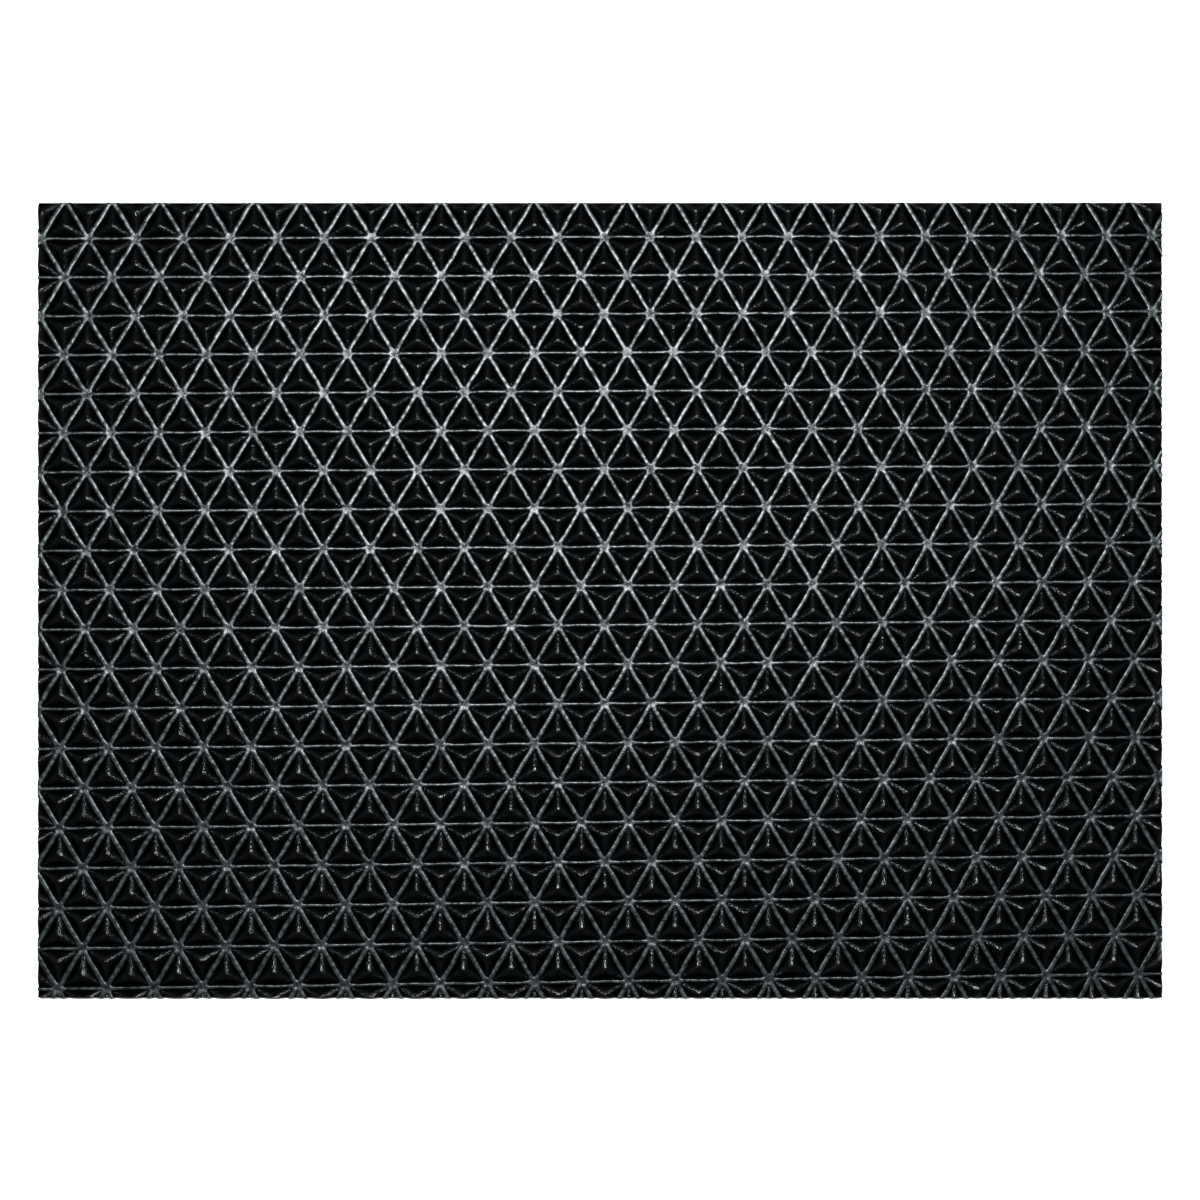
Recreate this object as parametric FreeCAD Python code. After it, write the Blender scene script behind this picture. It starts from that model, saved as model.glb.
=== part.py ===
"""Moulded rubber door mat: a triangular lattice of thin ribs with a low three-sided stud in every cell.

Millimetres, +Z up. The origin is the centre of the underside, on the floor. X runs along the mat's long side,
and +Y is its back edge. From the floor up: the backing sheet on its grip feet, a woven scrim, the wear sheet,
and on it the rib lattice and the studs. Every ply is trimmed to one rectangle, which cuts through the pattern.
"""

import FreeCAD
import Part

import math
import os

# The trimmed outline.
MAT_LENGTH = 700.0
MAT_WIDTH = 495.0

# The plies, from the floor up.
GRIP_FOOT_HEIGHT = 1.2
BACKING_THICKNESS = 1.5
SCRIM_THICKNESS = 0.5
WEAR_THICKNESS = 2.0

# The lattice of nodes, where six ribs meet. Columns count along a row, and rows count towards the back edge.
FIRST_NODE_X = -11.7
FIRST_NODE_Y = 8.7
NODE_PITCH = 29.06
ROW_PITCH = 24.39
ROW_RISE_PER_COLUMN = 0.24
ROW_LEAN_PER_ROW = -0.03
# The sheet is drawn out a little while hot, so both pitches shrink towards the right and the back.
PITCH_LOSS_PER_COLUMN = 0.067
PITCH_LOSS_PER_ROW = 0.0225
ROW_LOSS_PER_ROW = 0.052
RISE_LOSS_PER_ROW = 0.0163
# Far enough to pass the outline on every side.
COLUMNS_EACH_SIDE = 16
ROWS_EACH_SIDE = 12

RIB_WIDTH = 3.2
RIB_HEIGHT = 3.2

# Each stud stays lower than the ribs, its foot is clear of them by a groove, and its tip is a small flat.
STUD_HEIGHT = 3.0
STUD_GROOVE = 0.3
STUD_TIP_SHARE = 0.07
# What the outline leaves of a stud or a rib is dropped below these sizes.
SMALLEST_STUD_VOLUME = 0.5
SMALLEST_RIB_AREA = 2.0

# The round feet moulded under the backing sheet, on a square grid with one foot at the centre.
GRIP_FOOT_DIAMETER = 7.0
GRIP_FOOT_TIP_DIAMETER = 6.0
GRIP_FOOT_PITCH = 33.0
GRIP_FOOT_MARGIN = 12.0

BACKING_BOTTOM = GRIP_FOOT_HEIGHT
SCRIM_BOTTOM = BACKING_BOTTOM + BACKING_THICKNESS
WEAR_BOTTOM = SCRIM_BOTTOM + SCRIM_THICKNESS
RELIEF_BOTTOM = WEAR_BOTTOM + WEAR_THICKNESS


def outline_block(bottom, height):
    """A block of the mat's outline."""
    corner = FreeCAD.Vector(-MAT_LENGTH / 2, -MAT_WIDTH / 2, bottom)
    return Part.makeBox(MAT_LENGTH, MAT_WIDTH, height, corner)


def lattice_node(column, row):
    """The centre of a node on top of the wear sheet. Odd rows sit half a pitch over, at half columns."""
    x = FIRST_NODE_X + NODE_PITCH * column + ROW_LEAN_PER_ROW * row
    x -= PITCH_LOSS_PER_COLUMN * column**2 / 2 + PITCH_LOSS_PER_ROW * column * row
    y = FIRST_NODE_Y + ROW_PITCH * row + ROW_RISE_PER_COLUMN * column
    y -= ROW_LOSS_PER_ROW * row**2 / 2 + RISE_LOSS_PER_ROW * column * row
    return FreeCAD.Vector(x, y, RELIEF_BOTTOM)


def cells(apex_step):
    """The corners of each cell near the mat. apex_step is 1 for cells that point back, -1 for forward."""
    found = []
    for row in range(-ROWS_EACH_SIDE, ROWS_EACH_SIDE + 1):
        for step in range(-COLUMNS_EACH_SIDE, COLUMNS_EACH_SIDE):
            column = step + row % 2 / 2
            left = lattice_node(column, row)
            right = lattice_node(column + 1, row)
            apex = lattice_node(column + 0.5, row + apex_step)
            corners = [left, right, apex]
            if side_of_outline(corners) != "outside":
                found.append(corners)
    return found


def side_of_outline(corners):
    """Where a cell lies: inside, outside or across the mat's outline."""
    reach_x = [corner.x for corner in corners]
    reach_y = [corner.y for corner in corners]
    half_length = MAT_LENGTH / 2
    half_width = MAT_WIDTH / 2
    if min(reach_x) > half_length or max(reach_x) < -half_length:
        return "outside"
    if min(reach_y) > half_width or max(reach_y) < -half_width:
        return "outside"
    if max(map(abs, reach_x)) < half_length and max(map(abs, reach_y)) < half_width:
        return "inside"
    return "across"


def inner_circle(corners):
    """The centre and radius of the circle that touches a cell's three sides."""
    a, b, c = corners
    sides = [(b - c).Length, (c - a).Length, (a - b).Length]
    perimeter = sum(sides)
    centre = (a * sides[0] + b * sides[1] + c * sides[2]) * (1 / perimeter)
    area = (b - a).cross(c - a).Length / 2
    return centre, 2 * area / perimeter


def inset(corners, distance):
    """A cell's outline moved inwards by a distance."""
    centre, radius = inner_circle(corners)
    share = 1 - distance / radius
    return [centre + (corner - centre) * share for corner in corners]


def polygon(points):
    """A flat face with these corners."""
    return Part.Face(Part.makePolygon([*points, points[0]]))


def make_backing_sheet():
    """The bottom ply with its feet, in one moulding."""
    steps_x = math.floor((MAT_LENGTH / 2 - GRIP_FOOT_MARGIN) / GRIP_FOOT_PITCH)
    steps_y = math.floor((MAT_WIDTH / 2 - GRIP_FOOT_MARGIN) / GRIP_FOOT_PITCH)
    feet = []
    for step_x in range(-steps_x, steps_x + 1):
        for step_y in range(-steps_y, steps_y + 1):
            place = FreeCAD.Vector(step_x * GRIP_FOOT_PITCH, step_y * GRIP_FOOT_PITCH, 0)
            tip_radius = GRIP_FOOT_TIP_DIAMETER / 2
            feet.append(Part.makeCone(tip_radius, GRIP_FOOT_DIAMETER / 2, GRIP_FOOT_HEIGHT, place))
    return outline_block(BACKING_BOTTOM, BACKING_THICKNESS).fuse(feet)


def make_rib_lattice(all_cells):
    """The outline with each cell, less half a rib on every side, taken out, raised to the rib height."""
    holes = []
    notches = []
    for corners in all_cells:
        opening = inset(corners, RIB_WIDTH / 2)
        if side_of_outline(opening) == "inside":
            holes.append(Part.makePolygon([*opening, opening[0]]))
        else:
            notches.append(polygon(opening))
    sheet = outline_block(RELIEF_BOTTOM, RIB_HEIGHT).Faces
    ground = min(sheet, key=lambda face: face.CenterOfMass.z)
    web, *slivers = sorted(ground.cut(notches).Faces, key=lambda face: -face.Area)
    pierced = Part.Face([web.OuterWire, *holes], "Part::FaceMakerBullseye")
    ribs = [pierced, *(sliver for sliver in slivers if sliver.Area > SMALLEST_RIB_AREA)]
    return Part.makeCompound([rib.extrude(FreeCAD.Vector(0, 0, RIB_HEIGHT)) for rib in ribs])


def make_stud(corners):
    """A low three-sided pyramid with a small flat tip."""
    foot = inset(corners, RIB_WIDTH / 2 + STUD_GROOVE)
    centre = inner_circle(foot)[0]
    rise = FreeCAD.Vector(0, 0, STUD_HEIGHT)
    tip = [centre + (corner - centre) * STUD_TIP_SHARE + rise for corner in foot]
    faces = [polygon(foot), polygon(tip)]
    for first, second in ((0, 1), (1, 2), (2, 0)):
        faces.append(polygon([foot[first], foot[second], tip[second], tip[first]]))
    return Part.Solid(Part.Shell(faces))


def make_studs(some_cells):
    """One stud in each cell, cut off where the outline crosses it."""
    trimmed = outline_block(RELIEF_BOTTOM, STUD_HEIGHT)
    studs = []
    for corners in some_cells:
        stud = make_stud(corners)
        if side_of_outline(corners) == "across":
            studs += [piece for piece in stud.common(trimmed).Solids if piece.Volume > SMALLEST_STUD_VOLUME]
        else:
            studs.append(stud)
    return Part.makeCompound(studs)


def main():
    upright_cells = cells(1)
    inverted_cells = cells(-1)
    nodes = {
        "backing_sheet": make_backing_sheet(),
        "reinforcing_scrim": outline_block(SCRIM_BOTTOM, SCRIM_THICKNESS),
        "wear_sheet": outline_block(WEAR_BOTTOM, WEAR_THICKNESS),
        "rib_lattice": make_rib_lattice(upright_cells + inverted_cells),
        "upright_pyramids": make_studs(upright_cells),
        "inverted_pyramids": make_studs(inverted_cells),
    }
    os.makedirs("parts", exist_ok=True)
    for name, shape in nodes.items():
        shape.exportStep(f"parts/{name}.step")
        print(f"{name}: {len(shape.Solids)} solids, {shape.Volume / 1000:.1f} cm3, valid {shape.isValid()}")


main()
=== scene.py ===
"""The looks of a moulded rubber door mat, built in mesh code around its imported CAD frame."""

import math

import bmesh
import bpy
import numpy as np
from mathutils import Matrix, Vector


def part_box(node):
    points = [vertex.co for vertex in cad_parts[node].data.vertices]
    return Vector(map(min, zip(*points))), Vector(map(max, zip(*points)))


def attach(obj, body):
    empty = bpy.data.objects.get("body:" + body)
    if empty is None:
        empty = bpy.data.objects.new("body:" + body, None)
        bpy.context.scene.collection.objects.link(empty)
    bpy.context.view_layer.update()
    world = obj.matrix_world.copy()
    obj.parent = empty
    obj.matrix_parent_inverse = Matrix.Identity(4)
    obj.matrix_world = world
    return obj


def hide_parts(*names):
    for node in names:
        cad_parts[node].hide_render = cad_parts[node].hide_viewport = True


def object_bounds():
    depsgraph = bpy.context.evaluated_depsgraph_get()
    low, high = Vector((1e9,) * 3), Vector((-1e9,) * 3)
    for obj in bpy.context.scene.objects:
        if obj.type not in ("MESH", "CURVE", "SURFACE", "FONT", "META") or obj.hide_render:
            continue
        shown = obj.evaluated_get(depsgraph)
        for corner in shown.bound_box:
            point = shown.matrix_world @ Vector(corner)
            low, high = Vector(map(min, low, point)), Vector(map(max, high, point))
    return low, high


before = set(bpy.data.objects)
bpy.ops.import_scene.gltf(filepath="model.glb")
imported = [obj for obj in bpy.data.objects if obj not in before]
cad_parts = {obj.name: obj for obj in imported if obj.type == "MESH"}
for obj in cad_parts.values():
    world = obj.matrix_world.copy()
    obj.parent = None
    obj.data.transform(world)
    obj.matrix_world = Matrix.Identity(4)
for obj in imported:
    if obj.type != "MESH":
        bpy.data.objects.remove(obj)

MM = 0.001
CAD_LOW, CAD_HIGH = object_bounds()
BODY = "root"
# What the relief carries at each vertex for its materials.
MARKS = ("crest", "fan", "reach")

# ---------------------------------------------------------------- sizes, in millimetres

HALF_LENGTH = CAD_HIGH.x / MM
HALF_WIDTH = CAD_HIGH.y / MM
RELIEF_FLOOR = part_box("wear_sheet")[1].z / MM
SCRIM_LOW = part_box("reinforcing_scrim")[0].z / MM
SCRIM_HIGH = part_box("reinforcing_scrim")[1].z / MM
RIB_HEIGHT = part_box("rib_lattice")[1].z / MM - RELIEF_FLOOR
STUD_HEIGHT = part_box("upright_pyramids")[1].z / MM - RELIEF_FLOOR

# The lattice of nodes, the same as in the CAD source.
FIRST_NODE_X = -11.7
FIRST_NODE_Y = 8.7
NODE_PITCH = 29.06
ROW_PITCH = 24.39
ROW_RISE_PER_COLUMN = 0.24
ROW_LEAN_PER_ROW = -0.03
PITCH_LOSS_PER_COLUMN = 0.067
PITCH_LOSS_PER_ROW = 0.0225
ROW_LOSS_PER_ROW = 0.052
RISE_LOSS_PER_ROW = 0.0163
COLUMNS_EACH_SIDE = 16
ROWS_EACH_SIDE = 12

# A cell's cross-section, by distance from the middle of a rib.
RIB_HALF_WIDTH = 1.6
STUD_FOOT_AT = 1.9
RIB_CROWN_RADIUS = 8.0
RIB_CROWN_HALF = 1.46
RIB_SHOULDER_AT = 1.55
RIB_SHOULDER_DROP = 0.5
# How pale and polished each line along a rib is, from the middle of its crown, over the shoulder, to its
# underside: the pale is partly scuffing and partly a painted highlight on the crown.
RIB_WEAR_AND_HIGHLIGHT = (1.0, 1.0, 0.9, 0.3, 0.0, 0.0)
# Midway between nodes the ribs along the rows are much slimmer, and the others a little.
RIB_WAISTS = (0.45, 0.06, 0.06)
# A higher power carries the waist further towards the nodes.
RIB_WAIST_POWER = 4
CORNER_ROUNDING = 0.55
RIDGE_ROUNDING = 0.8
TIP_ROUNDING = 0.6
# The wedge along each ridge of a stud that is scuffed pale and painted as a highlight, as a share of the 30
# degrees from the ridge to a rib.
RIDGE_SCUFF_AND_HIGHLIGHT_FAN = 0.3
NODE_DIMPLE_DEPTH = 0.5
NODE_DIMPLE_RADIUS = 1.3
# The share of the pale scuffed colour and polish that is taken away in the dimple of a node and at the tip of
# a stud, as painted shade there.
NODE_DIMPLE_PAINTED_SHADE = 0.5
TIP_PAINTED_SHADE = 0.5

# The hot rubber crept from the mould's straight lines in waves: reach, turn per mm of x and of y, and start.
CREEP_X = ((0.17, 0.31, 0.17, 0.6), (0.14, -0.29, 0.73, 2.1))
CREEP_Y = ((0.13, 0.27, -0.41, 4.0), (0.13, 0.81, 0.19, 1.2))
# No point creeps as far as this.
CREEP_MARGIN = 1.0

# How finely a third of a cell is divided along its rib, from the middle (0) to the node (1), and up its stud.
COLUMN_MARKS = (0.0, 0.45, 0.74, 0.88, 1.0)
STUD_MARKS = (0.0, 0.07, 0.25, 0.5, 0.75, 0.9, 1.0)
# Rounds of the search for a depth, the steps per mm at which points are told apart, the slack of a trimming
# cut, and the angle past which an edge is shaded sharp.
DEPTH_ROUNDS = 30
MERGE_STEPS_PER_MM = 200
CUT_TOLERANCE = 1e-5
SHARP_DEGREES = 75

# The trimmed edges of the rubber plies, which meet in the middle of the scrim.
SCRIM_MIDDLE = (SCRIM_LOW + SCRIM_HIGH) / 2
PLY_EDGE_STEP = 2.0
PLY_EDGE_ROUNDING = 0.12
PLY_EDGE_HOLLOW = 0.06
# The knife's slight waver along the trimmed edge: its reach, and its turn per mm.
PLY_EDGE_WAVER = 0.04
PLY_EDGE_WAVER_TURN = 0.8

# The grip feet, as in the CAD source. The profile's radii and heights run from the rounded tip on the floor
# to a flared root inside the backing sheet.
FOOT_HEIGHT = 1.2
FOOT_PITCH = 33.0
FOOT_MARGIN = 12.0
FOOT_SIDES = 20
FOOT_PROFILE = ((2.5, 0.0), (2.9, 0.08), (3.1, 0.3), (3.45, FOOT_HEIGHT - 0.15), (3.6, FOOT_HEIGHT + 0.2))

# The scrim's flat yarns.
YARN_PITCH = 5.0
YARN_WIDTH = 2.0
YARN_THICKNESS = 0.16
YARN_RISE = 0.1

# ---------------------------------------------------------------- the rubber's surface, in millimetres

GRAIN_SIZE = 1.3
NOISE_DETAIL = 3.0
# Grain from the first to the second value gives roughness from the third to the fourth.
GRAIN_ROUGHNESS = (0.3, 0.7, 0.5, 0.7)
WEAR_PATCH_SIZE = 3.0
WEAR_PATCH_DETAIL = 5.0
WEAR_PATCH_RANGE = (0.36, 0.6)
BLOOM_SIZE = 45.0
BLOOM_RANGE = (0.4, 0.7)
CLOTH_PITCH = 1.2
STRANDS_ACROSS_FAN = 9.0
STRAND_LENGTH = 4.5
STRAND_DETAIL = 1.0
# The strands differ from cell to cell, by this much over blotches of this size.
STRAND_CHANGE = 30.0
STRAND_CHANGE_SIZE = 20.0
FILAMENT_SCALE = 900.0
FILAMENT_TWIST = 3.0
FILAMENT_DEPTH = 0.03
YARN_ROUGHNESS = 0.85
YARN_SHEEN = 0.3

# ---------------------------------------------------------------- the studio, in metres

MAT_SHARE_OF_FRAME = 0.937
CAMERA_HEIGHT = 2.0
KEY_PLACE = (-0.04, 0.28, 2.0)
KEY_AIM = (0.10, 0.24, 0.0)
KEY_SIZE = (1.1, 0.24)
KEY_SPREAD = 150.0
KEY_POWER = 58.0
KEY_COLOUR = (0.97, 1.0, 1.0)
FLOOR_SIZE = 1.6
FLOOR_COLOUR = (0.86, 0.86, 0.86)
FLOOR_ROUGHNESS = 0.9
FLOOR_SPECULAR = 0.1
ROOM_COLOUR = (1.0, 1.0, 1.0, 1.0)
ROOM_STRENGTH = 1.0
CEILING_STRENGTH = 0.02
# The ceiling darkens between these sines of the height above the horizon.
CEILING_EDGE = (0.35, 0.65)
PICTURE_GAMMA = 0.7

# ---------------------------------------------------------------- the lattice


def lattice_node(column, row):
    """The centre of a node in the plane of the mat. Odd rows sit half a pitch over, at half columns."""
    x = FIRST_NODE_X + NODE_PITCH * column + ROW_LEAN_PER_ROW * row
    x = x - PITCH_LOSS_PER_COLUMN * column**2 / 2 - PITCH_LOSS_PER_ROW * column * row
    y = FIRST_NODE_Y + ROW_PITCH * row + ROW_RISE_PER_COLUMN * column
    y = y - ROW_LOSS_PER_ROW * row**2 / 2 - RISE_LOSS_PER_ROW * column * row
    return np.stack([x, y], axis=-1)


def cells(apex_step):
    """The corners, anticlockwise, of each cell that touches the mat. apex_step is 1 for the cells that point
    back, and -1 for those that point forward."""
    rows = np.arange(-ROWS_EACH_SIDE, ROWS_EACH_SIDE + 1)
    steps = np.arange(-COLUMNS_EACH_SIDE, COLUMNS_EACH_SIDE)
    row, step = (grid.ravel() for grid in np.meshgrid(rows, steps, indexing="ij"))
    column = step + row % 2 / 2
    base = [lattice_node(column, row), lattice_node(column + 1, row)]
    apex = lattice_node(column + 0.5, row + apex_step)
    corners = [*base, apex] if apex_step > 0 else [*reversed(base), apex]
    found = np.stack(corners, axis=1)
    half = np.array([HALF_LENGTH, HALF_WIDTH]) + CREEP_MARGIN
    touching = (found.min(axis=1) < half).all(axis=1) & (found.max(axis=1) > -half).all(axis=1)
    return found[touching]


def wander(points):
    """How far the hot rubber has crept from the mould's straight lines, for each point."""
    x, y = points[..., 0], points[..., 1]
    drift = []
    for waves in (CREEP_X, CREEP_Y):
        drift.append(sum(reach * np.sin(by_x * x + by_y * y + start) for reach, by_x, by_y, start in waves))
    return np.stack(drift, axis=-1)


# ---------------------------------------------------------------- one cell, on an even triangle

ALTITUDE = NODE_PITCH * math.sqrt(3) / 2
HALF_CORNER = math.radians(30)
COLUMNS = np.array([-mark for mark in COLUMN_MARKS[:0:-1]] + list(COLUMN_MARKS))


def shares_at(side, along, depth):
    """Shares of the three corners at points of one third of the cell. along runs from -1 to 1 between the
    side's two corners, and depth from 0 on the side to 1 at the middle of the cell."""
    shares = np.empty(np.broadcast(along, depth).shape + (3,))
    shares[..., side] = (1 - along) / 2 * (1 - depth)
    shares[..., (side + 1) % 3] = (1 + along) / 2 * (1 - depth)
    shares[..., (side + 2) % 3] = 0
    return shares + (depth / 3)[..., None]


def soft_distance(shares, rounding):
    """Distance to the nearest rib's middle line, with the corners between ribs rounded off."""
    far = shares * ALTITUDE
    nearest = far.min(axis=-1)
    closeness = np.exp(-(far - nearest[..., None]) / np.expand_dims(rounding, -1))
    return nearest - rounding * np.log(closeness.sum(axis=-1))


def depth_of(distance):
    """The depth at each column where the soft distance from the ribs reaches this value."""
    depth = np.broadcast_to(distance, len(COLUMNS)) / (ALTITUDE / 3)
    for _ in range(DEPTH_ROUNDS):
        gap = distance - soft_distance(shares_at(0, COLUMNS, depth), CORNER_ROUNDING)
        depth = np.clip(depth + gap / (ALTITUDE / 3), 0, 1)
    return depth


def grid_faces(rows, columns, start):
    """Quads between neighbouring rows and columns of a grid whose first vertex is start."""
    row, column = np.meshgrid(np.arange(rows - 1), np.arange(columns - 1), indexing="ij")
    first = start + (row * columns + column).ravel()
    return np.stack([first, first + 1, first + columns + 1, first + columns], axis=1)


def corner_view(shares):
    """How points look from their nearest corner: the angle off the line to the middle of the cell, from 0 on
    that line to 1 on a rib, and the distance."""
    even = np.array([[0, 0], [NODE_PITCH, 0], [NODE_PITCH / 2, ALTITUDE]])
    corner = even[shares.argmax(axis=-1)]
    out = shares @ even - corner
    inwards = even.mean(axis=0) - corner
    reach = np.linalg.norm(out, axis=-1)
    # A point on the corner itself has no angle, so its divisor is kept off zero.
    lengths = np.maximum(reach * np.linalg.norm(inwards, axis=-1), 1e-9)
    cosine = (out * inwards).sum(axis=-1) / lengths
    return np.arccos(np.clip(cosine, -1, 1)) / HALF_CORNER, reach


def template(sides):
    """Joins the three sides of a template: corner shares, then height, crest, fan and reach, and quads."""
    shares, values, faces = [], [], []
    for side, (here, height, crest) in enumerate(sides):
        rows, columns = height.shape
        fan, reach = corner_view(here)
        shares.append(here.reshape(-1, 3))
        values.append(np.stack([height, crest, fan, reach], axis=-1).reshape(-1, 4))
        faces.append(grid_faces(rows, columns, side * height.size))
    return np.concatenate(shares), np.concatenate(values), np.concatenate(faces)


def rib_template():
    """The ribs in one cell: half of each, with a flat underside. The first side is the rib along the row."""
    crown = [0, RIB_CROWN_HALF / 2, RIB_CROWN_HALF]
    marks = [*crown, RIB_SHOULDER_AT, RIB_HALF_WIDTH]
    drops = [*(mark**2 / (2 * RIB_CROWN_RADIUS) for mark in crown), RIB_SHOULDER_DROP, RIB_HEIGHT, RIB_HEIGHT]
    height = RIB_HEIGHT - np.array(drops)[:, None]
    sides = []
    for side in range(3):
        width = 1 - RIB_WAISTS[side] * (1 - COLUMNS**RIB_WAIST_POWER)
        depths = np.stack([*(depth_of(mark * width) for mark in marks), np.zeros(len(COLUMNS))])
        depths[0] = 0
        here = shares_at(side, COLUMNS[None, :], depths)
        dimple = np.exp(-((corner_view(here)[1] / NODE_DIMPLE_RADIUS) ** 2))
        dimple[len(crown):] = 0
        # The crown's pale colour is partly scuffing and partly a painted highlight, and the dimple of a node
        # loses some of it as painted shade.
        wear_and_highlight = np.array(RIB_WEAR_AND_HIGHLIGHT)[:, None] * (1 - dimple * NODE_DIMPLE_PAINTED_SHADE)
        sides.append((here, height - NODE_DIMPLE_DEPTH * dimple, wear_and_highlight))
    return template(sides)


def stud_template():
    """A cell's stud: its flat underside from the middle out, then its slopes up to the tip."""
    foot = depth_of(STUD_FOOT_AT)
    slope = foot + (1 - foot) * np.array(STUD_MARKS)[:, None]
    depths = np.concatenate([np.ones((1, len(COLUMNS))), slope])
    sides = []
    for side in range(3):
        here = shares_at(side, COLUMNS[None, :], depths)
        rise = soft_distance(here, RIDGE_ROUNDING + TIP_ROUNDING * depths)
        level = np.clip((rise - rise[1]) / (rise[-1].max() - rise[1]), 0, 1)
        level[0] = 0
        fan, reach = corner_view(here)
        # The wedge along each ridge is painted pale, partly as scuffing and partly as a painted highlight,
        # and painted shade takes some of it at the tip.
        crest = np.exp(-((fan / RIDGE_SCUFF_AND_HIGHLIGHT_FAN) ** 2)) * (1 - level**3 * TIP_PAINTED_SHADE)
        sides.append((here, level * STUD_HEIGHT, crest))
    return template(sides)


# ---------------------------------------------------------------- from cells to a trimmed mesh


def place(pattern, corners):
    """The pattern in every cell: vertices in millimetres followed by crest, fan and reach, and quads."""
    shares, values, faces = pattern
    flat = np.einsum("vc,ncx->nvx", shares, corners)
    flat = flat + wander(flat)
    rest = np.broadcast_to(values + (RELIEF_FLOOR, 0, 0, 0), (len(corners), *values.shape))
    points = np.concatenate([flat, rest], axis=-1).reshape(-1, 3 + len(MARKS))
    step = (np.arange(len(corners)) * len(values))[:, None, None]
    return points, (faces[None] + step).reshape(-1, 4)


def merged(points, faces):
    """Joins vertices that lie at one place, and drops the corners that this makes double."""
    keys = np.round(points[:, :3] * MERGE_STEPS_PER_MM).astype(np.int64)
    _, first, inverse = np.unique(keys, axis=0, return_index=True, return_inverse=True)
    inverse = inverse.ravel()
    clean = []
    for face in faces:
        corners = list(dict.fromkeys(inverse[list(face)].tolist()))
        if len(corners) > 2:
            clean.append(corners)
    return points[first], clean


def trimmed(points, faces):
    """The part of a closed mesh inside the mat's outline, closed again where it is cut."""
    bm = bmesh.new()
    layers = [bm.verts.layers.float.new(name) for name in MARKS]
    for point in points:
        vert = bm.verts.new(point[:3])
        for layer, value in zip(layers, point[3:]):
            vert[layer] = value
    bm.verts.ensure_lookup_table()
    for face in faces:
        bm.faces.new([bm.verts[i] for i in face])
    for axis, limit in ((0, HALF_LENGTH), (1, HALF_WIDTH)):
        for sign in (-1, 1):
            normal = Vector((0, 0, 0))
            normal[axis] = sign
            everything = [*bm.verts, *bm.edges, *bm.faces]
            cut = bmesh.ops.bisect_plane(
                bm,
                geom=everything,
                dist=CUT_TOLERANCE,
                plane_co=normal * limit,
                plane_no=normal,
                clear_outer=True,
            )
            edges = [e for e in cut["geom_cut"] if isinstance(e, bmesh.types.BMEdge) and e.is_boundary]
            bmesh.ops.holes_fill(bm, edges=edges, sides=0)
    bm.verts.index_update()
    left = np.array([[*vert.co, *(vert[layer] for layer in layers)] for vert in bm.verts])
    polygons = [[vert.index for vert in face.verts] for face in bm.faces]
    bm.free()
    return left, polygons


def relief(pattern, corners):
    """One closed mesh of the pattern in all these cells, trimmed to the outline."""
    half = np.array([HALF_LENGTH, HALF_WIDTH]) - CREEP_MARGIN
    inside = (np.abs(corners) < half).all(axis=(1, 2))
    points, faces = place(pattern, corners[inside])
    # The same single precision as the trimmed cells, so that the two meet exactly.
    points = points.astype(np.float32)
    edge_points, edge_faces = trimmed(*merged(*place(pattern, corners[~inside])))
    faces = faces.tolist() + [[i + len(points) for i in face] for face in edge_faces]
    return merged(np.concatenate([points, edge_points]), faces)


def add_mesh(name, points, faces):
    """A mesh object from millimetre points. The values after the third, if any, become its marks."""
    points = np.asarray(points)
    mesh = bpy.data.meshes.new(name)
    mesh.from_pydata((points[:, :3] * MM).tolist(), [], [list(face) for face in faces])
    for mark, values in zip(MARKS, points[:, 3:].T):
        attribute = mesh.attributes.new(mark, "FLOAT", "POINT")
        attribute.data.foreach_set("value", np.ascontiguousarray(values, dtype=np.float32))
    mesh.shade_smooth()
    mesh.set_sharp_from_angle(angle=math.radians(SHARP_DEGREES))
    piece = bpy.data.objects.new(name, mesh)
    bpy.context.scene.collection.objects.link(piece)
    return piece


# ---------------------------------------------------------------- the plies


def tube(rings):
    """Rings of points, anticlockwise seen from the last ring, joined in turn and closed at each end."""
    count = len(rings[0])
    last = count * (len(rings) - 1)
    faces = [list(range(count))[::-1], [last + i for i in range(count)]]
    for start in range(0, last, count):
        for i in range(count):
            a, b = start + i, start + (i + 1) % count
            faces.append([a, b, b + count, a + count])
    return np.concatenate(rings), faces


def outline_ring(inset, spacing):
    """Points round the outline, moved in by inset, each side in steps of about spacing."""
    ring = []
    corners = [(-1, -1), (1, -1), (1, 1), (-1, 1)]
    for start, end in zip(corners, corners[1:] + corners[:1]):
        a = np.array(start) * (HALF_LENGTH - inset, HALF_WIDTH - inset)
        b = np.array(end) * (HALF_LENGTH - inset, HALF_WIDTH - inset)
        steps = round(float(np.abs(b - a).max()) / spacing)
        ring.append(a + (b - a) * np.linspace(0, 1, steps, endpoint=False)[:, None])
    return np.concatenate(ring)


def ply(low, high):
    """A trimmed rubber sheet: rings up its slightly hollow edge, with a flat face below and above."""
    levels = (
        (PLY_EDGE_ROUNDING, low),
        (0.0, low + PLY_EDGE_ROUNDING),
        (PLY_EDGE_HOLLOW, (low + high) / 2),
        (0.0, high - PLY_EDGE_ROUNDING),
        (PLY_EDGE_ROUNDING, high),
    )
    rings = []
    for inset, height in levels:
        ring = outline_ring(inset, PLY_EDGE_STEP)
        waver = PLY_EDGE_WAVER * np.sin(PLY_EDGE_WAVER_TURN * ring.sum(axis=1) + height) ** 2
        ring = ring * (1 - waver / HALF_LENGTH)[:, None]
        rings.append(np.column_stack([ring, np.full(len(ring), height)]))
    return tube(rings)


def foot(x, y):
    """One round grip foot."""
    turn = np.linspace(0, 2 * math.pi, FOOT_SIDES, endpoint=False)
    circle = np.column_stack([np.cos(turn), np.sin(turn)])
    rings = []
    for radius, height in FOOT_PROFILE:
        rings.append(np.column_stack([circle * radius + (x, y), np.full(FOOT_SIDES, height)]))
    return tube(rings)


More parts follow.
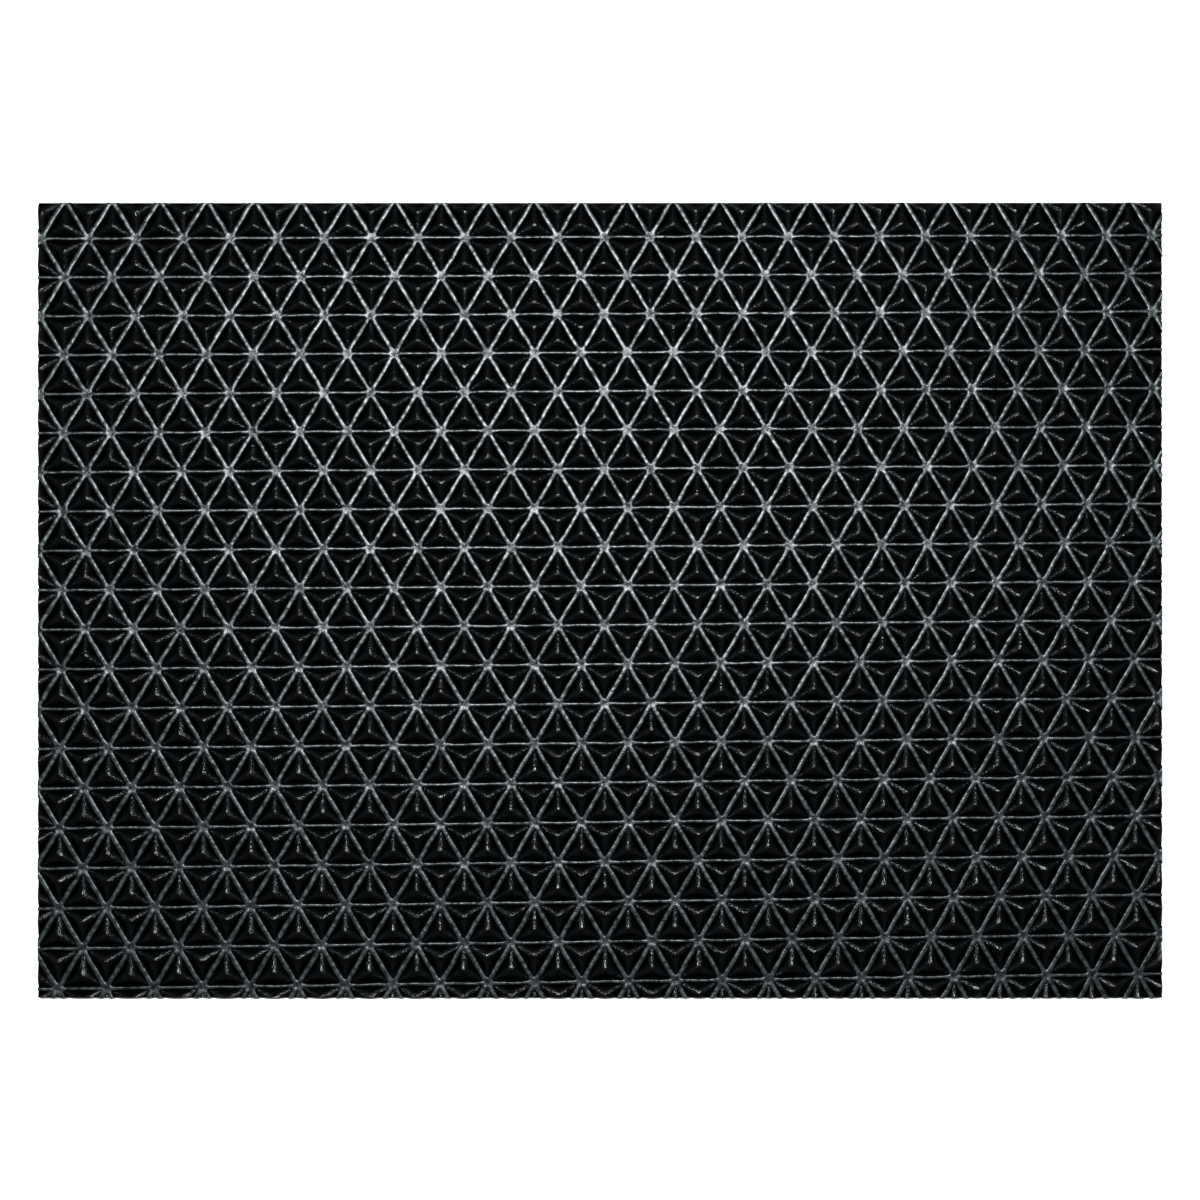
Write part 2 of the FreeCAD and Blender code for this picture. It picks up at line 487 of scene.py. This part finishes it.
def joined(parts):
    """Several (points, faces) pairs as one."""
    points, faces, start = [], [], 0
    for some_points, some_faces in parts:
        points.append(some_points)
        faces += [[i + start for i in face] for face in some_faces]
        start += len(some_points)
    return np.concatenate(points), faces


def backing():
    """The bottom ply and its feet."""
    parts = [ply(FOOT_HEIGHT, SCRIM_MIDDLE)]
    steps_x = math.floor((HALF_LENGTH - FOOT_MARGIN) / FOOT_PITCH)
    steps_y = math.floor((HALF_WIDTH - FOOT_MARGIN) / FOOT_PITCH)
    for step_x in range(-steps_x, steps_x + 1):
        for step_y in range(-steps_y, steps_y + 1):
            parts.append(foot(step_x * FOOT_PITCH, step_y * FOOT_PITCH))
    return joined(parts)


def yarn(start, end, count, first_up):
    """One flat yarn of the scrim, from edge to edge, over and under the yarns that cross it."""
    start, end = np.array(start), np.array(end)
    along = (end - start) / np.linalg.norm(end - start)
    across = np.array([-along[1], along[0]])
    line = start + (end - start) * np.linspace(0, 1, count)[:, None]
    rise = np.where((np.arange(count) + first_up) % 2, YARN_RISE, -YARN_RISE)
    edges = []
    for side, lift in ((-1, 0), (0, -1), (1, 0), (0, 1)):
        flat = line + across * side * YARN_WIDTH / 2
        height = SCRIM_MIDDLE + rise + lift * YARN_THICKNESS / 2
        edges.append(np.column_stack([flat, height]))
    return tube(np.stack(edges, axis=1))


def scrim():
    """The woven reinforcing ply: flat yarns both ways, one over and one under."""
    across_x = round(2 * HALF_LENGTH / YARN_PITCH)
    across_y = round(2 * HALF_WIDTH / YARN_PITCH)
    xs = (np.arange(across_x) + 0.5) * 2 * HALF_LENGTH / across_x - HALF_LENGTH
    ys = (np.arange(across_y) + 0.5) * 2 * HALF_WIDTH / across_y - HALF_WIDTH
    parts = [yarn((-HALF_LENGTH, y), (HALF_LENGTH, y), across_x + 2, i % 2) for i, y in enumerate(ys)]
    parts += [yarn((x, -HALF_WIDTH), (x, HALF_WIDTH), across_y + 2, (i + 1) % 2) for i, x in enumerate(xs)]
    return joined(parts)


# ---------------------------------------------------------------- materials

# The sockets of a colour mix, which share their names with those of its other kinds.
MIX_FACTOR, MIX_FIRST, MIX_SECOND = 0, 6, 7
MIX_RESULT = 2


def new_material(name):
    material = bpy.data.materials.new(name)
    material.use_nodes = True
    return material, material.node_tree.nodes["Principled BSDF"]


def add_node(material, kind, settings=None, **inputs):
    """Adds a node, sets its properties, and sets or links its inputs by name, with _ for a space."""
    tree = material.node_tree
    made = tree.nodes.new(kind)
    for name, value in (settings or {}).items():
        setattr(made, name, value)
    for name, value in inputs.items():
        connect(material, value, made.inputs[name.replace("_", " ")])
    return made


def connect(material, value, socket):
    """Sets a socket to a value, or links it to an output."""
    if isinstance(value, bpy.types.NodeSocket):
        material.node_tree.links.new(value, socket)
    else:
        socket.default_value = value


def math_node(material, operation, first, second=0.0):
    made = add_node(material, "ShaderNodeMath", {"operation": operation})
    connect(material, first, made.inputs[0])
    connect(material, second, made.inputs[1])
    return made.outputs[0]


def mixed_colour(material, factor, first, second):
    made = add_node(material, "ShaderNodeMix", {"data_type": "RGBA"})
    connect(material, factor, made.inputs[MIX_FACTOR])
    connect(material, (*first, 1), made.inputs[MIX_FIRST])
    connect(material, (*second, 1), made.inputs[MIX_SECOND])
    return made.outputs[MIX_RESULT]


def noise(material, place, size, detail=NOISE_DETAIL):
    """Noise whose blotches are about this many millimetres across."""
    scale = 1 / (size * MM)
    return add_node(material, "ShaderNodeTexNoise", Vector=place, Scale=scale, Detail=detail).outputs["Fac"]


def ranged(material, value, from_low, from_high, to_low=0.0, to_high=1.0):
    made = add_node(material, "ShaderNodeMapRange", Value=value, From_Min=from_low, From_Max=from_high)
    made.inputs["To Min"].default_value = to_low
    made.inputs["To Max"].default_value = to_high
    return made.outputs["Result"]


def mark(material, name):
    return add_node(material, "ShaderNodeAttribute", {"attribute_name": name}).outputs["Fac"]


def combined(material, x, y, z):
    return add_node(material, "ShaderNodeCombineXYZ", X=x, Y=y, Z=z).outputs["Vector"]


def strands(material, place):
    """Flow lines in the rubber, from -0.5 to 0.5, that fan out from each node along the ridges."""
    across = math_node(material, "MULTIPLY", mark(material, "fan"), STRANDS_ACROSS_FAN)
    along = math_node(material, "MULTIPLY", mark(material, "reach"), 1 / STRAND_LENGTH)
    change = noise(material, place, STRAND_CHANGE_SIZE, STRAND_DETAIL)
    differ = math_node(material, "MULTIPLY", change, STRAND_CHANGE)
    vector = combined(material, across, along, differ)
    noise_node = add_node(material, "ShaderNodeTexNoise", Vector=vector, Scale=1.0, Detail=STRAND_DETAIL)
    lines = noise_node.outputs["Fac"]
    return math_node(material, "SUBTRACT", lines, 0.5)


def bumped(material, height, depth, normal=None):
    """The surface raised and lowered by a height from 0 to 1, over this many millimetres."""
    node = add_node(material, "ShaderNodeBump", Strength=1.0, Distance=depth * MM, Height=height)
    if normal:
        connect(material, normal, node.inputs["Normal"])
    return node.outputs["Normal"]


def worn_and_highlit_rubber(name, dark, worn_and_highlit, least_wear_and_highlight, specular, coat_roughness, grain_depth, strand_depth=0.0):
    """Matte moulded rubber with a fine grain. Its crests are painted pale in patches, partly as scuffing and
    partly as a painted highlight, and they are polished by feet: the polish is a coat that only they have."""
    material, shader = new_material(name)
    place = add_node(material, "ShaderNodeTexCoord").outputs["Object"]
    grain = noise(material, place, GRAIN_SIZE)
    blotches = noise(material, place, WEAR_PATCH_SIZE, WEAR_PATCH_DETAIL)
    patches = ranged(material, blotches, *WEAR_PATCH_RANGE, least_wear_and_highlight)
    # The crests' pale colour, partly scuffing and partly a painted highlight, and their coat of polish.
    wear_and_highlight = math_node(material, "MULTIPLY", mark(material, "crest"), patches)
    connect(material, mixed_colour(material, wear_and_highlight, dark, worn_and_highlit), shader.inputs["Base Color"])
    connect(material, ranged(material, grain, *GRAIN_ROUGHNESS), shader.inputs["Roughness"])
    connect(material, wear_and_highlight, shader.inputs["Coat Weight"])
    shader.inputs["Coat Roughness"].default_value = coat_roughness
    shader.inputs["Specular IOR Level"].default_value = specular
    normal = bumped(material, grain, grain_depth)
    if strand_depth:
        lines = math_node(material, "MULTIPLY", strands(material, place), mark(material, "crest"))
        normal = bumped(material, lines, strand_depth, normal)
    connect(material, normal, shader.inputs["Normal"])
    connect(material, normal, shader.inputs["Coat Normal"])
    return material


def sheet_rubber(name, dark, dusty, specular, print_depth):
    """Matte sheet rubber with a faint dusty bloom, and the print of the cloth that it was cured on."""
    material, shader = new_material(name)
    place = add_node(material, "ShaderNodeTexCoord").outputs["Object"]
    grain = noise(material, place, GRAIN_SIZE)
    bloom = ranged(material, noise(material, place, BLOOM_SIZE), *BLOOM_RANGE)
    connect(material, mixed_colour(material, bloom, dark, dusty), shader.inputs["Base Color"])
    connect(material, ranged(material, grain, *GRAIN_ROUGHNESS), shader.inputs["Roughness"])
    shader.inputs["Specular IOR Level"].default_value = specular
    split = add_node(material, "ShaderNodeSeparateXYZ", Vector=place)
    threads = []
    for axis in ("X", "Y"):
        turn = math_node(material, "MULTIPLY", split.outputs[axis], 2 * math.pi / (CLOTH_PITCH * MM))
        threads.append(math_node(material, "SINE", turn))
    cloth = math_node(material, "MULTIPLY", *threads)
    normal = bumped(material, grain, print_depth, bumped(material, cloth, print_depth))
    connect(material, normal, shader.inputs["Normal"])
    return material


def woven(name, dark, pale):
    """Matte yarn: fine filaments with a slight twist."""
    material, shader = new_material(name)
    place = add_node(material, "ShaderNodeTexCoord").outputs["Object"]
    filaments = add_node(
        material,
        "ShaderNodeTexWave",
        {"bands_direction": "DIAGONAL"},
        Vector=place,
        Scale=FILAMENT_SCALE,
        Distortion=FILAMENT_TWIST,
    ).outputs["Fac"]
    connect(material, mixed_colour(material, filaments, dark, pale), shader.inputs["Base Color"])
    shader.inputs["Roughness"].default_value = YARN_ROUGHNESS
    shader.inputs["Sheen Weight"].default_value = YARN_SHEEN
    connect(material, bumped(material, filaments, FILAMENT_DEPTH), shader.inputs["Normal"])
    return material


# ---------------------------------------------------------------- the scene


def add_piece(name, points, faces, material, stands_for, slot_name):
    piece = add_mesh(name, points, faces)
    piece.data.materials.append(material)
    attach(piece, BODY)
    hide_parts(stands_for)
    return piece


def add_floor():
    bpy.ops.mesh.primitive_plane_add(size=FLOOR_SIZE)
    floor = bpy.context.object
    floor.name = "floor"
    material, shader = new_material("floor_paint")
    shader.inputs["Base Color"].default_value = (*FLOOR_COLOUR, 1)
    shader.inputs["Roughness"].default_value = FLOOR_ROUGHNESS
    shader.inputs["Specular IOR Level"].default_value = FLOOR_SPECULAR
    floor.data.materials.append(material)


def add_light(name, place, aim, size, power, colour, spread):
    lamp = bpy.data.lights.new(name, "AREA")
    lamp.shape = "RECTANGLE"
    lamp.size, lamp.size_y = size
    lamp.energy = power
    lamp.color = colour
    lamp.spread = math.radians(spread)
    light = bpy.data.objects.new(name, lamp)
    light.location = place
    # Two turns only, so that the lamp's long side stays along X.
    direction = (Vector(aim) - Vector(place)).normalized()
    light.rotation_euler = (math.asin(direction.y), math.atan(direction.x / direction.z), 0)
    bpy.context.scene.collection.objects.link(light)


def add_camera():
    camera_data = bpy.data.cameras.new("camera")
    frame_width = (CAD_HIGH.x - CAD_LOW.x) / MAT_SHARE_OF_FRAME
    camera_data.lens = camera_data.sensor_width * (CAMERA_HEIGHT - CAD_HIGH.z) / frame_width
    camera = bpy.data.objects.new("camera", camera_data)
    camera.location = (0, 0, CAMERA_HEIGHT)
    bpy.context.scene.collection.objects.link(camera)
    bpy.context.scene.camera = camera


def set_world():
    """A pale room with a dark ceiling, so that nothing but the lamp is mirrored straight down."""
    world = bpy.data.worlds.new("studio")
    world.use_nodes = True
    tree = world.node_tree
    direction = tree.nodes.new("ShaderNodeTexCoord").outputs["Generated"]
    split = tree.nodes.new("ShaderNodeSeparateXYZ")
    tree.links.new(direction, split.inputs[0])
    shade = tree.nodes.new("ShaderNodeMapRange")
    tree.links.new(split.outputs["Z"], shade.inputs["Value"])
    shade.inputs["From Min"].default_value, shade.inputs["From Max"].default_value = CEILING_EDGE
    shade.inputs["To Min"].default_value = ROOM_STRENGTH
    shade.inputs["To Max"].default_value = CEILING_STRENGTH
    background = tree.nodes["Background"]
    background.inputs["Color"].default_value = ROOM_COLOUR
    tree.links.new(shade.outputs["Result"], background.inputs["Strength"])
    bpy.context.scene.world = world
    bpy.context.scene.view_settings.view_transform = "Standard"
    bpy.context.scene.view_settings.gamma = PICTURE_GAMMA


# The ribs' pale crown colour is partly scuffing and partly a painted highlight.
rib_rubber = worn_and_highlit_rubber(
    "worn_and_highlit_ribs",
    dark=(0.003, 0.0038, 0.0042),
    worn_and_highlit=(0.036, 0.045, 0.049),
    least_wear_and_highlight=0.25,
    specular=0.04,
    coat_roughness=0.33,
    grain_depth=0.13,
)
# The studs' faint pale ridge colour is partly scuffing and partly a painted highlight.
stud_rubber = worn_and_highlit_rubber(
    "worn_and_highlit_studs",
    dark=(0.0005, 0.0007, 0.0009),
    worn_and_highlit=(0.006, 0.008, 0.009),
    least_wear_and_highlight=0.8,
    specular=0.01,
    coat_roughness=0.26,
    grain_depth=0.04,
    strand_depth=0.5,
)
face_rubber = sheet_rubber(
    "matte_face",
    dark=(0.0008, 0.0010, 0.0012),
    dusty=(0.004, 0.0045, 0.005),
    specular=0.02,
    print_depth=0.03,
)
backing_rubber = sheet_rubber(
    "cloth_pressed_backing",
    dark=(0.006, 0.0065, 0.007),
    dusty=(0.02, 0.02, 0.019),
    specular=0.3,
    print_depth=0.08,
)
scrim_fabric = woven("scrim_yarn", dark=(0.08, 0.08, 0.075), pale=(0.22, 0.22, 0.2))

upright_cells = cells(1)
inverted_cells = cells(-1)
ribs = relief(rib_template(), np.concatenate([upright_cells, inverted_cells]))
add_piece("ribs", *ribs, rib_rubber, "rib_lattice", "rib_rubber")
upright_studs = relief(stud_template(), upright_cells)
add_piece("upright_studs", *upright_studs, stud_rubber, "upright_pyramids", "stud_rubber")
inverted_studs = relief(stud_template(), inverted_cells)
add_piece("inverted_studs", *inverted_studs, stud_rubber, "inverted_pyramids", "stud_rubber")
add_piece("face_ply", *ply(SCRIM_MIDDLE, RELIEF_FLOOR), face_rubber, "wear_sheet", "face_rubber")
add_piece("backing_ply", *backing(), backing_rubber, "backing_sheet", "backing_rubber")
scrim_piece = add_piece("scrim", *scrim(), scrim_fabric, "reinforcing_scrim", "scrim_fabric")

add_floor()
add_light("key", KEY_PLACE, KEY_AIM, KEY_SIZE, KEY_POWER, KEY_COLOUR, KEY_SPREAD)
add_camera()
set_world()
